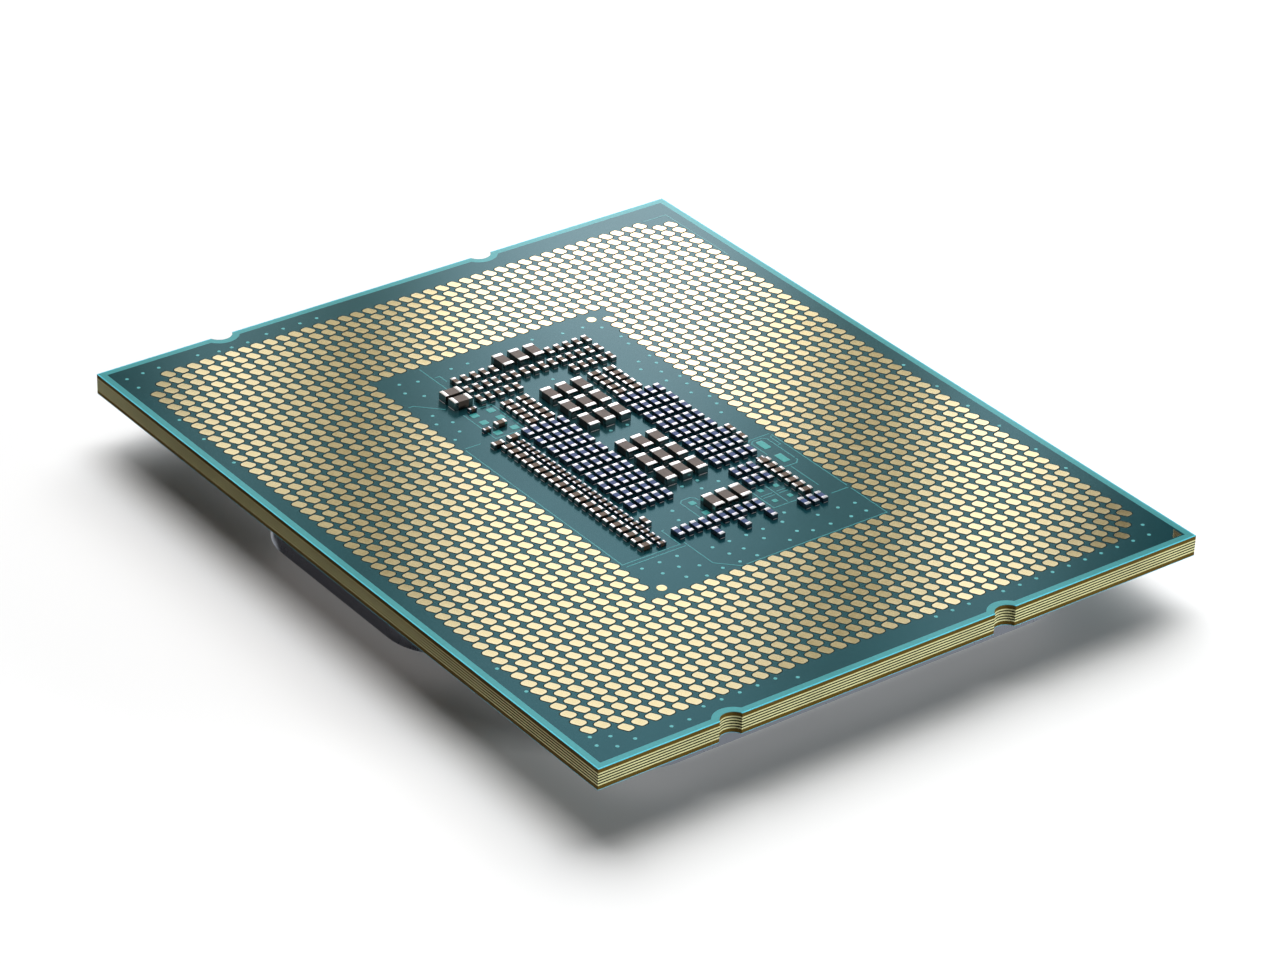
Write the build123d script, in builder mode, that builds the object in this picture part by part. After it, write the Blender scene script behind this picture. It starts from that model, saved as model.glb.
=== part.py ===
from build123d import *
import os

# A land-grid processor package, lying on its heat spreader with the contact lands facing up.
# Millimetres, +Z up. The origin is the centre of the heat spreader's cooler face.

os.makedirs("parts", exist_ok=True)

# ---- Package outline ----
PACKAGE_X = 37.5
PACKAGE_Y = 45.0
NOTCH_X = (-10.98, 6.05)
NOTCH_R = 0.72
NOTCH_DEPTH = 0.46

# ---- Heights, from the cooler face upwards ----
FLANGE_Z = 1.75
CAVITY_Z = 1.98
SPREADER_TOP_Z = 2.724
LAMINATE_Z = 2.794
MASK_T = 0.024
BUILDUP_T = 0.217
CORE_PLIES = 5
CORE_T = 0.698
LAND_T = 0.012
RELIEF_T = 0.005

# ---- Heat spreader ----
PLATE_X = 27.4
PLATE_Y = 39.0
PLATE_R = 2.5
FLANGE_X = 32.4
FLANGE_Y = 43.08
FLANGE_R = 2.8
KEY_CUT_X = 9.8
KEY_CUT_Y = 17.5
EAR_X = 37.08
EAR_Y = 12.96
EAR_ROOT_Y = 18.56
EAR_R = 3.6
CAVITY_X = 24.5
CAVITY_Y = 33.0
CAVITY_R = 2.0
FACE_ARRIS = 0.25

# ---- Die and what joins it ----
DIE_X = 14.4
DIE_Y = 22.3
BUMP_T = 0.07
BUMP_R = 0.14
BUMPS_X = 12
BUMPS_Y = 18
UNDERFILL_RIM = 0.6
UNDERFILL_Z = 0.35

# ---- Contact lands ----
PITCH = 0.8
COLUMNS = 44
ROWS = 52
VOID_COLUMNS = (13, 30)
VOID_ROWS = (11, 42)
LAND_L = 0.755
LAND_W = 0.535
LAND_FULLNESS = 0.80
LAND_TURN = 120.0
# Sites left out at the four corners and beside the two round fiducial pads.
LEFT_OUT = (
    [(0, 51), (1, 51), (0, 50)]
    + [(42, 0), (43, 0), (43, 1)]
    + [(42, 51), (43, 51)]
    + [(0, 0), (1, 0)]
    + [(31, 42), (12, 11)]
)

# ---- Small features of the land side ----
BAND_W = 0.40
FIDUCIAL_R = 0.275
FIDUCIALS = ((6.72, 12.90), (-6.77, -11.44))
MARKER_LEG = 0.60
MARKER_CORNER = (18.20, -22.02)
VIA_R = 0.10
TRACE_W = 0.075

# ---- Heights that follow ----
CORE_LAYERS = 2 * CORE_PLIES - 1
CORE_LAYER_T = CORE_T / CORE_LAYERS
DIE_BUILDUP_Z = LAMINATE_Z + MASK_T
CORE_Z = DIE_BUILDUP_Z + BUILDUP_T
LAND_BUILDUP_Z = CORE_Z + CORE_T
LAND_MASK_Z = LAND_BUILDUP_Z + BUILDUP_T
SURFACE_Z = LAND_MASK_Z + MASK_T
DIE_TOP_Z = LAMINATE_Z - BUMP_T
DIE_Z = CAVITY_Z + 0.20

# ---- Capacitor families: length, width, height, terminal length, direction of the length ----
STAND_OFF = 0.02
JOINT_TOE = 0.11
JOINT_RISE = 0.55
LARGE = (1.27, 0.64, 0.43, 0.27, "y")
TALL = (1.15, 0.64, 0.47, 0.25, "x")
SMALL = (0.70, 0.32, 0.26, 0.19, "y")
SLIM = (0.78, 0.34, 0.27, 0.22, "y")
LATERAL = (0.70, 0.36, 0.27, 0.17, "x")
MICRO = (0.46, 0.25, 0.21, 0.12, "x")


def grid(x, y, count_x, count_y, pitch_x, pitch_y):
    """Points of a rectangular array that starts at x, y and runs towards +X and -Y."""
    return [(x + i * pitch_x, y - j * pitch_y) for i in range(count_x) for j in range(count_y)]


LARGE_AT = (
    grid(-0.29, 11.33, 3, 1, 0.995, 1)
    + grid(-0.29, 6.95, 3, 3, 0.995, 1.675)
    + grid(-0.29, 0.25, 3, 3, 0.995, 1.675)
    + grid(0.12, -6.56, 3, 1, 0.886, 1)
)
TALL_AT = grid(-4.64, 9.91, 1, 2, 1, 0.88)
SMALL_AT = (
    grid(-3.556, 11.03, 5, 3, 0.610, 1.12)
    + grid(-0.506, 9.91, 5, 1, 0.610, 1)
    + grid(2.544, 11.03, 5, 3, 0.610, 1.12)
    + grid(5.58, -0.96, 1, 2, 1, 1.0)
    + [(-3.78, -6.08)]
)
SLIM_AT = (
    grid(-3.508, 4.53, 5, 9, 0.574, 1.119)
    + grid(2.768, 4.53, 5, 8, 0.574, 1.119)
    + grid(2.96, -4.78, 3, 2, 0.575, 1.13)
    + grid(-3.06, -7.86, 10, 1, 0.568, 1)
    + grid(-1.35, -8.96, 3, 1, 1.68, 1)
    + grid(4.05, -9.07, 3, 1, 0.565, 1)
)
LATERAL_AT = (
    grid(-2.64, 7.64, 2, 5, 1.02, 0.574)
    + grid(3.06, 7.64, 2, 5, 1.02, 0.574)
    + grid(-5.22, 3.85, 1, 21, 1, 0.5905)
    + grid(4.93, -4.68, 1, 7, 1, 0.573)
    + [(-5.49, 4.43), (-4.42, 4.55), (-4.14, 6.15)]
)
MICRO_AT = (
    grid(-4.365, 3.93, 1, 28, 1, 0.449)
    + [(-4.48, 8.20), (-5.08, 6.03), (4.97, -4.32)]
)
FAMILIES = (
    ("large_capacitor", LARGE, LARGE_AT),
    ("tall_capacitor", TALL, TALL_AT),
    ("small_capacitor", SMALL, SMALL_AT),
    ("slim_capacitor", SLIM, SLIM_AT),
    ("lateral_capacitor", LATERAL, LATERAL_AT),
    ("micro_capacitor", MICRO, MICRO_AT),
)

# ---- Empty component sites: centre x, y and size x, y ----
BARE_PADS = (
    [(x, y, 0.44, 0.42) for x in (-4.64, -3.59) for y in (7.75, 6.88, 5.60)]
    + [(x, y, 0.29, 0.29) for x in (3.11, 4.10) for y in (-6.72, -7.90)]
    + [(-0.55, y, 0.37, 0.37) for y in (-5.76, -6.89)]
    + [(6.12, y, 0.43, 0.84) for y in (-3.10, -4.68)]
)

# ---- Filled vias that show through the mask ----
VIAS = (
    grid(7.10, -21.10, 10, 1, 1.079, 1)
    + grid(2.80, -21.05, 3, 1, 1.06, 1)
    + grid(-11.50, -21.02, 5, 1, 1.08, 1)
    + [(-17.50, -20.12), (-16.65, -20.60)]
    + [(-17.65, -20.87), (-16.89, -21.46), (-15.81, -21.40), (-13.78, -21.53), (-12.73, -21.53)]
    + [(-6.22, -21.53), (17.20, -20.20)]
    + [(-17.72, 21.14), (-16.68, 21.24), (-15.67, 21.29), (-13.23, 21.31), (-17.68, 20.02)]
    + [(-12.05, 21.05), (-11.26, 21.05), (-10.24, 21.05)]
    + grid(-8.89, 21.30, 4, 1, 1.077, 1)
    + [(-17.70, 15.90), (-17.70, 13.50), (-17.70, 10.60), (-17.70, -12.88), (-17.70, -15.29)]
    + [(17.74, -0.50), (17.74, -3.30), (17.74, -5.84), (17.74, -8.40), (17.74, -11.35), (17.74, -13.70)]
    + [(-6.06, 12.68), (-5.05, 12.42), (-6.34, 11.73), (-2.79, 12.59), (-1.72, 12.59), (-5.64, 10.95)]
    + [(-6.48, 8.95), (-6.82, 8.09), (-5.98, 7.81), (-6.24, 6.82), (-6.92, 6.23), (1.08, 8.67)]
    + [(2.71, 12.85), (4.50, 12.51), (5.80, 12.45), (6.67, 11.88), (6.95, 10.49), (6.80, 9.62)]
    + [(6.95, 7.91), (6.05, 7.70), (6.78, 7.07), (5.64, 6.95), (6.41, 6.14), (6.04, 5.20), (6.95, 5.20)]
    + [(6.77, 4.34), (6.36, 3.44), (6.95, 2.59), (6.78, 1.75), (6.39, 0.86), (0.39, 2.53), (1.48, 2.54)]
    + [(0.02, -4.13), (1.04, -4.08), (0.74, -4.84), (1.91, -4.74), (-1.86, -5.80), (-2.15, -6.71)]
    + grid(-6.49, -9.43, 3, 1, 1.09, 1)
    + grid(-2.33, -9.76, 4, 1, 1.07, 1)
    + [(2.13, -9.76), (2.77, -9.09), (-5.90, -10.36), (-4.85, -10.31), (0.36, -10.50)]
    + [(4.05, -10.22), (5.36, -10.23), (6.38, -10.34), (-3.93, -10.77), (-2.00, -10.71), (-1.10, -10.72)]
    + [(2.18, -10.87), (-5.12, -11.27), (1.34, -11.37)]
    + [(2.90, -11.28), (4.05, -11.27), (5.38, -11.28), (6.37, -11.27), (-4.20, -11.75)]
    + grid(-3.10, -11.61, 3, 1, 1.08, 1)
)

# ---- Conductors that show as relief under the mask, as open paths ----
TRACES = (
    [(-4.24, 13.45), (-4.24, 10.45)],
    [(-4.08, 12.25), (-3.77, 12.25), (-3.77, 11.55)],
    [(-7.05, 10.35), (-6.75, 10.35), (-5.52, 9.12)],
    [(-5.10, 8.10), (-5.10, 5.16), (-3.20, 5.16), (-3.20, 8.25), (-4.05, 8.25)],
    [(-7.05, 5.16), (-6.05, 5.16)],
    [(-7.10, 5.00), (-7.10, -8.62), (-3.50, -8.62), (-3.50, -7.08), (-3.32, -7.08)],
    [(-7.05, -8.89), (-3.34, -8.89)],
    [(-3.22, -8.55), (-3.22, -10.95), (-2.15, -12.02)],
    [(-1.07, -7.20), (-1.07, -5.45), (-0.87, -5.25), (-0.32, -5.25), (-0.12, -5.45), (-0.12, -5.70)],
    [(-0.55, -6.02), (-0.55, -6.62)],
    [(2.62, -6.60), (2.62, -8.45), (4.52, -8.45)],
    [(3.61, -6.52), (3.61, -8.35)],
    [(2.74, -7.20), (3.49, -7.20)],
    [(3.73, -7.20), (4.36, -7.20)],
    [(2.74, -7.42), (3.49, -7.42)],
    [(3.73, -7.42), (4.36, -7.42)],
    [(5.60, -2.50), (5.78, -2.32), (7.10, -2.32)],
    [(5.66, -4.00), (5.66, -2.70), (5.86, -2.50), (6.48, -2.50), (6.68, -2.70), (6.68, -5.00)],
    [(7.05, -2.55), (6.94, -2.66), (6.94, -3.50), (6.78, -3.50)],
    [(6.68, -5.10), (6.68, -5.25), (6.44, -5.49), (5.62, -5.49)],
    [(5.96, -5.62), (5.96, -7.88)],
    [(5.98, -8.92), (7.08, -8.92)],
    [(7.16, -8.75), (7.16, -2.45)],
    [(7.16, -9.05), (7.16, -11.98), (-1.90, -11.98)],
    [(16.05, 20.72), (17.68, 20.72), (17.68, 14.90)],
)


def land_sites(columns, rows):
    """Centres of the lands in a range of lattice columns and rows."""
    sites = []
    for i in range(columns[0], columns[1] + 1):
        for j in range(rows[0], rows[1] + 1):
            if (i, j) not in LEFT_OUT:
                sites.append(((i - (COLUMNS - 1) / 2) * PITCH, (j - (ROWS - 1) / 2) * PITCH))
    return sites


def land_profile():
    """One land: a long rounded cushion outline, closed by a single smooth curve."""
    along = LAND_L / 2
    across = LAND_W / 2
    shoulder_x = LAND_FULLNESS * along
    shoulder_y = LAND_FULLNESS * across
    with BuildSketch(mode=Mode.PRIVATE) as profile:
        with BuildLine():
            Spline(
                (along, 0),
                (shoulder_x, shoulder_y),
                (0, across),
                (-shoulder_x, shoulder_y),
                (-along, 0),
                (-shoulder_x, -shoulder_y),
                (0, -across),
                (shoulder_x, -shoulder_y),
                periodic=True,
            )
        make_face()
    return profile.sketch


def package_profile(inset):
    """The package outline with its half-round keying notches, drawn in by an inset."""
    notch_y = PACKAGE_Y / 2 + NOTCH_R - NOTCH_DEPTH
    with BuildSketch(mode=Mode.PRIVATE) as profile:
        Rectangle(PACKAGE_X - 2 * inset, PACKAGE_Y - 2 * inset)
        with Locations([(x, side * notch_y) for x in NOTCH_X for side in (-1, 1)]):
            Circle(NOTCH_R + inset, mode=Mode.SUBTRACT)
    return profile.sketch


def spreader_profile(inset):
    """The heat spreader's flange outline: one corner cut off, and a load ear on each long side."""
    half_x = FLANGE_X / 2 - inset
    half_y = FLANGE_Y / 2 - inset
    with BuildSketch(mode=Mode.PRIVATE) as profile:
        with BuildLine():
            Polyline(
                (-half_x, -half_y),
                (KEY_CUT_X - inset / 2, -half_y),
                (half_x, inset / 2 - KEY_CUT_Y),
                (half_x, half_y),
                (-half_x, half_y),
                close=True,
            )
        make_face()
        fillet(profile.vertices(), radius=FLANGE_R)
        for side in (-1, 1):
            with BuildLine():
                Polyline(
                    (side * (half_x - 1), -EAR_ROOT_Y / 2),
                    (side * (EAR_X / 2 - inset), -EAR_Y / 2 + inset),
                    (side * (EAR_X / 2 - inset), EAR_Y / 2 - inset),
                    (side * (half_x - 1), EAR_ROOT_Y / 2),
                    close=True,
                )
            make_face()
        ear_corners = profile.vertices().filter_by(lambda v: abs(v.X) > EAR_X / 2 - inset - 0.1)
        fillet(ear_corners, radius=EAR_R)
    return profile.sketch


def solder_joint(length, width, height):
    """One fillet against a terminal's outer end, which faces +X, on a surface at z = 0."""
    end = length / 2
    with BuildPart(mode=Mode.PRIVATE) as joint:
        with BuildSketch(Plane.XZ):
            with BuildLine():
                Polyline((end, 0), (end + JOINT_TOE, 0), (end, JOINT_RISE * height), close=True)
            make_face()
        extrude(amount=width / 2, both=True)
    return joint.part


def save(built, name):
    """Label a finished sub-part and write it to its own STEP file."""
    built.part.label = name
    export_step(built.part, "parts/" + name + ".step")


LAND = land_profile()
OUTLINE = package_profile(0)
FIELD = package_profile(BAND_W)

# ---- Substrate laminate, from the die side to the land side ----
with BuildPart() as die_side_solder_mask:
    with BuildSketch(Plane.XY.offset(LAMINATE_Z)):
        add(OUTLINE)
    extrude(amount=MASK_T)
save(die_side_solder_mask, "die_side_solder_mask")

with BuildPart() as die_side_buildup:
    with BuildSketch(Plane.XY.offset(DIE_BUILDUP_Z)):
        add(OUTLINE)
    extrude(amount=BUILDUP_T)
save(die_side_buildup, "die_side_buildup")

for number in range(CORE_PLIES):
    with BuildPart() as core_ply:
        with BuildSketch(Plane.XY.offset(CORE_Z + 2 * number * CORE_LAYER_T)):
            add(OUTLINE)
        extrude(amount=CORE_LAYER_T)
    save(core_ply, "core_ply_" + str(number + 1))

for number in range(CORE_PLIES - 1):
    with BuildPart() as core_plane:
        with BuildSketch(Plane.XY.offset(CORE_Z + (2 * number + 1) * CORE_LAYER_T)):
            add(OUTLINE)
        extrude(amount=CORE_LAYER_T)
    save(core_plane, "core_plane_" + str(number + 1))

with BuildPart() as land_side_buildup:
    with BuildSketch(Plane.XY.offset(LAND_BUILDUP_Z)):
        add(OUTLINE)
    extrude(amount=BUILDUP_T)
save(land_side_buildup, "land_side_buildup")

with BuildPart() as land_side_solder_mask:
    with BuildSketch(Plane.XY.offset(LAND_MASK_Z)):
        add(FIELD)
    extrude(amount=MASK_T)
save(land_side_solder_mask, "land_side_solder_mask")

with BuildPart() as solder_mask_edge_band:
    with BuildSketch(Plane.XY.offset(LAND_MASK_Z)):
        add(OUTLINE)
        add(FIELD, mode=Mode.SUBTRACT)
    extrude(amount=MASK_T)
save(solder_mask_edge_band, "solder_mask_edge_band")

# ---- Contact lands, in four fields around the component area ----
LAND_FIELDS = (
    ("contact_lands_south", (0, COLUMNS - 1), (0, VOID_ROWS[0] - 1)),
    ("contact_lands_north", (0, COLUMNS - 1), (VOID_ROWS[1] + 1, ROWS - 1)),
    ("contact_lands_west", (0, VOID_COLUMNS[0] - 1), VOID_ROWS),
    ("contact_lands_east", (VOID_COLUMNS[1] + 1, COLUMNS - 1), VOID_ROWS),
)
for name, columns, rows in LAND_FIELDS:
    with BuildPart() as contact_lands:
        with BuildSketch(Plane.XY.offset(SURFACE_Z)):
            with Locations([Location((x, y), LAND_TURN) for x, y in land_sites(columns, rows)]):
                add(LAND)
        extrude(amount=LAND_T)
    save(contact_lands, name)

# ---- Small features of the land side ----
with BuildPart() as fiducial_pads:
    with BuildSketch(Plane.XY.offset(SURFACE_Z)):
        with Locations(FIDUCIALS):
            Circle(FIDUCIAL_R)
    extrude(amount=LAND_T)
save(fiducial_pads, "fiducial_pads")

with BuildPart() as pin_one_marker:
    with BuildSketch(Plane.XY.offset(SURFACE_Z)):
        with BuildLine():
            Polyline(
                MARKER_CORNER,
                (MARKER_CORNER[0], MARKER_CORNER[1] + MARKER_LEG),
                (MARKER_CORNER[0] - MARKER_LEG, MARKER_CORNER[1]),
                close=True,
            )
        make_face()
    extrude(amount=LAND_T)
save(pin_one_marker, "pin_one_marker")

with BuildPart() as bare_component_pads:
    with BuildSketch(Plane.XY.offset(SURFACE_Z)):
        for pad_x, pad_y, size_x, size_y in BARE_PADS:
            with Locations((pad_x, pad_y)):
                RectangleRounded(size_x, size_y, 0.04)
    extrude(amount=2 * RELIEF_T)
save(bare_component_pads, "bare_component_pads")

with BuildPart() as filled_vias:
    with BuildSketch(Plane.XY.offset(SURFACE_Z)):
        with Locations(VIAS):
            Circle(VIA_R)
    extrude(amount=RELIEF_T)
save(filled_vias, "filled_vias")

with BuildPart() as conductor_traces:
    for path in TRACES:
        with BuildSketch(Plane.XY.offset(SURFACE_Z)):
            with BuildLine():
                Polyline(*path)
            trace(line_width=TRACE_W)
        extrude(amount=RELIEF_T)
save(conductor_traces, "conductor_traces")

# ---- Capacitors: ceramic bodies, metal end terminals and the solder that holds them ----
for family, size, places in FAMILIES:
    length, width, height, terminal, direction = size
    turn = 90 if direction == "y" else 0
    spots = [Location((x, y, SURFACE_Z), (0, 0, turn)) for x, y in places]
    body = (length - 2 * terminal, width - 0.02, height - 0.01 - STAND_OFF)
    with BuildPart() as bodies:
        with Locations([spot * Location((0, 0, STAND_OFF)) for spot in spots]):
            Box(*body, align=(Align.CENTER, Align.CENTER, Align.MIN))
    save(bodies, family + "_bodies")
    with BuildPart() as terminals:
        for end in (-1, 1):
            shift = Location((end * (length - terminal) / 2, 0, 0))
            with Locations([spot * shift for spot in spots]):
                Box(terminal, width, height, align=(Align.CENTER, Align.CENTER, Align.MIN))
    save(terminals, family + "_terminals")

with BuildPart() as capacitor_solder_joints:
    for family, size, places in FAMILIES:
        length, width, height, terminal, direction = size
        turn = 90 if direction == "y" else 0
        joint = solder_joint(length, width, height)
        spots = [Location((x, y, SURFACE_Z), (0, 0, turn + end)) for x, y in places for end in (0, 180)]
        with Locations(spots):
            add(joint)
save(capacitor_solder_joints, "capacitor_solder_joints")

# ---- Die, its joints and its thermal interface, closed in under the heat spreader ----
with BuildPart() as silicon_die:
    with BuildSketch(Plane.XY.offset(DIE_Z)):
        Rectangle(DIE_X, DIE_Y)
    extrude(amount=DIE_TOP_Z - DIE_Z)
save(silicon_die, "silicon_die")

with BuildPart() as solder_bumps:
    with BuildSketch(Plane.XY.offset(DIE_TOP_Z)):
        with GridLocations(DIE_X / BUMPS_X, DIE_Y / BUMPS_Y, BUMPS_X, BUMPS_Y):
            Circle(BUMP_R)
    extrude(amount=BUMP_T)
save(solder_bumps, "solder_bumps")

with BuildPart() as underfill:
    with BuildSketch(Plane.XY.offset(LAMINATE_Z)):
        RectangleRounded(DIE_X + 2 * UNDERFILL_RIM, DIE_Y + 2 * UNDERFILL_RIM, UNDERFILL_RIM)
    extrude(amount=-UNDERFILL_Z, taper=45)
    add(silicon_die.part, mode=Mode.SUBTRACT)
    add(solder_bumps.part, mode=Mode.SUBTRACT)
save(underfill, "underfill")

with BuildPart() as solder_thermal_interface:
    with BuildSketch(Plane.XY.offset(CAVITY_Z)):
        RectangleRounded(DIE_X + 0.4, DIE_Y + 0.4, 0.3)
    extrude(amount=DIE_Z - CAVITY_Z)
save(solder_thermal_interface, "solder_thermal_interface")

# ---- Heat spreader: raised plate, flange with load ears, and the cavity for the die ----
with BuildPart() as heat_spreader:
    with BuildSketch():
        RectangleRounded(PLATE_X, PLATE_Y, PLATE_R)
    extrude(amount=FLANGE_Z)
    chamfer(heat_spreader.faces().sort_by(Axis.Z)[0].edges(), length=FACE_ARRIS)
    with BuildSketch(Plane.XY.offset(FLANGE_Z)):
        add(spreader_profile(0))
    extrude(amount=SPREADER_TOP_Z - FLANGE_Z)
    with BuildSketch(Plane.XY.offset(CAVITY_Z)):
        RectangleRounded(CAVITY_X, CAVITY_Y, CAVITY_R)
    extrude(amount=SPREADER_TOP_Z - CAVITY_Z, mode=Mode.SUBTRACT)
save(heat_spreader, "heat_spreader")

with BuildPart() as heat_spreader_sealant:
    with BuildSketch(Plane.XY.offset(SPREADER_TOP_Z)):
        add(spreader_profile(0.45))
        RectangleRounded(CAVITY_X + 0.8, CAVITY_Y + 0.8, CAVITY_R, mode=Mode.SUBTRACT)
        with Locations((0, -FLANGE_Y / 2)):
            Rectangle(3.0, FLANGE_Y - CAVITY_Y + 2, mode=Mode.SUBTRACT)
    extrude(amount=LAMINATE_Z - SPREADER_TOP_Z)
save(heat_spreader_sealant, "heat_spreader_sealant")
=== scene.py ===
import math
import random

import bmesh
import bpy
from mathutils import Matrix, Vector


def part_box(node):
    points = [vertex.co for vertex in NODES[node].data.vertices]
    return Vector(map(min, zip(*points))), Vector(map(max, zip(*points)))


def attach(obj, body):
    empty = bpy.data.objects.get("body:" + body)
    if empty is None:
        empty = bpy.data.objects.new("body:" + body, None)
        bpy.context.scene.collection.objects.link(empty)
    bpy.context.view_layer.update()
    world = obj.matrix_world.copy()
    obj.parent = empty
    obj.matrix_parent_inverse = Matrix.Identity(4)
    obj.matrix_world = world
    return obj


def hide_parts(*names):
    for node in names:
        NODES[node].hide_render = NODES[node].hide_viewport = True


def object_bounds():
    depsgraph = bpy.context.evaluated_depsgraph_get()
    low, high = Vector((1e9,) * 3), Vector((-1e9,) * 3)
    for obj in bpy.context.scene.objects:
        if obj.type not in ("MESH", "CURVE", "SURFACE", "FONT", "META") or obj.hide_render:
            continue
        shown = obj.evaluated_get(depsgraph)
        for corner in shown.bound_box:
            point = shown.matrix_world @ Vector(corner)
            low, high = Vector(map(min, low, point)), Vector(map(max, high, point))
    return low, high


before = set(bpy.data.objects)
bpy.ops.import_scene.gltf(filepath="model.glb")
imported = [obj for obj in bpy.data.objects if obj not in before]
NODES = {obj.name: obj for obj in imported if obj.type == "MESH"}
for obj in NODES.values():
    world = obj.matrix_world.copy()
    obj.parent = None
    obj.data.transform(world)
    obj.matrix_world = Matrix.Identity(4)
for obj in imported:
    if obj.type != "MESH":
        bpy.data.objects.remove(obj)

# Land-grid processor package on a pale floor, lying on its heat spreader.
# Everything is in metres in the shared frame, and MM turns millimetres into metres.
CAD_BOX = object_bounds()
MM = 0.001
random.seed(7)

# ---- sizes that repeat part.py's ----
PITCH_MM = 0.8
PITCH = PITCH_MM * MM
COLUMNS = 44
ROWS = 52
LAND_ACUTE = (-0.454 * MM, 0.280 * MM)
LAND_OBTUSE = (0.091 * MM, 0.355 * MM)
LAND_ACUTE_R = 0.180 * MM
LAND_OBTUSE_R = 0.128 * MM
BAND_WIDTH = 0.40 * MM
NOTCH_X = (-10.98 * MM, 6.05 * MM)
NOTCH_R = 0.72 * MM
NOTCH_DEPTH = 0.46 * MM

# ---- sizes of the looks' own details ----
OPENING_POINTS = 28
CLEARANCE = 0.052 * MM
NOTCH_STEPS = 24
LAND_DISH = 0.002 * MM
LAND_TILT = 0.0015
TILT_ROOM = 0.0011 * MM
CHIP_TURN_DEGREES = 0.7
CHIP_SHIFT_MM = 0.006
SWELL = 0.002 * MM
CERAMIC_ROUND = 0.010 * MM
FILLET_TOE = 0.040 * MM
FILLET_SINK = 0.012 * MM
RIM_LIGHT_MM = 0.06


# ============================ materials ============================

def shader(name):
    """A new material with its node tree emptied down to one Principled shader."""
    material = bpy.data.materials.new(name)
    material.use_nodes = True
    tree = material.node_tree
    tree.nodes.clear()
    output = tree.nodes.new("ShaderNodeOutputMaterial")
    surface = tree.nodes.new("ShaderNodeBsdfPrincipled")
    tree.links.new(surface.outputs["BSDF"], output.inputs["Surface"])
    return material, tree, surface


def put(tree, socket, value):
    """Set a socket to a number or colour, or link it to another node's output."""
    if isinstance(value, bpy.types.NodeSocket):
        tree.links.new(value, socket)
    elif hasattr(value, "__len__") and len(value) == 3 and socket.type == "RGBA":
        socket.default_value = (*value, 1.0)
    else:
        socket.default_value = value


def add(tree, kind, settings=None, **sockets):
    """Add a shader node; socket names are written with underscores for spaces."""
    node = tree.nodes.new("ShaderNode" + kind)
    for key, value in (settings or {}).items():
        setattr(node, key, value)
    for key, value in sockets.items():
        put(tree, node.inputs[key.replace("_", " ")], value)
    return node


def in_mm(tree, stretch=(1, 1, 1)):
    """Object coordinates in millimetres, stretched along each axis."""
    place = tree.nodes.new("ShaderNodeTexCoord").outputs["Object"]
    scale = tuple(1000.0 * s for s in stretch)
    return add(tree, "Mapping", Vector=place, Scale=scale).outputs["Vector"]


def noise(tree, where, scale, detail=3.0, roughness=0.55):
    """Smooth noise between 0 and 1 with features about 1/scale mm across."""
    return add(tree, "TexNoise", Vector=where, Scale=scale, Detail=detail, Roughness=roughness).outputs["Fac"]


def ramp(tree, value, stops):
    """Colour ramp from (position, colour) stops."""
    node = add(tree, "ValToRGB", Fac=value)
    band = node.color_ramp
    while len(band.elements) < len(stops):
        band.elements.new(0.5)
    for element, (position, colour) in zip(band.elements, stops):
        element.position = position
        element.color = (*colour, 1.0) if len(colour) == 3 else colour
    return node.outputs["Color"]


def grey(level):
    """A neutral colour."""
    return (level, level, level)


def mix(tree, fac, a, b, how="MIX"):
    """Mix two colours."""
    node = add(tree, "Mix", {"data_type": "RGBA", "blend_type": how})
    put(tree, node.inputs[0], fac)
    put(tree, node.inputs[6], a)
    put(tree, node.inputs[7], b)
    return node.outputs[2]


def maths(tree, how, a, b=0.0):
    """One step of arithmetic."""
    node = tree.nodes.new("ShaderNodeMath")
    node.operation = how
    put(tree, node.inputs[0], a)
    put(tree, node.inputs[1], b)
    return node.outputs[0]


def remap(tree, value, low, high, to_low=0.0, to_high=1.0, smooth=False):
    """Move the range low to high onto the range to_low to to_high, and hold it there beyond the ends."""
    settings = {"interpolation_type": "SMOOTHSTEP" if smooth else "LINEAR"}
    ends = {"From_Min": low, "From_Max": high, "To_Min": to_low, "To_Max": to_high}
    return add(tree, "MapRange", settings, Value=value, **ends).outputs[0]


def between(tree, value, low, high):
    """Move a 0 to 1 value into the range low to high."""
    return remap(tree, value, 0.0, 1.0, low, high)


def relief(tree, surface, height, depth, strength=1.0):
    """Bump the surface by a height field that is depth metres deep."""
    bump = add(tree, "Bump", Height=height, Distance=depth, Strength=strength)
    put(tree, surface.inputs["Normal"], bump.outputs["Normal"])


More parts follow.
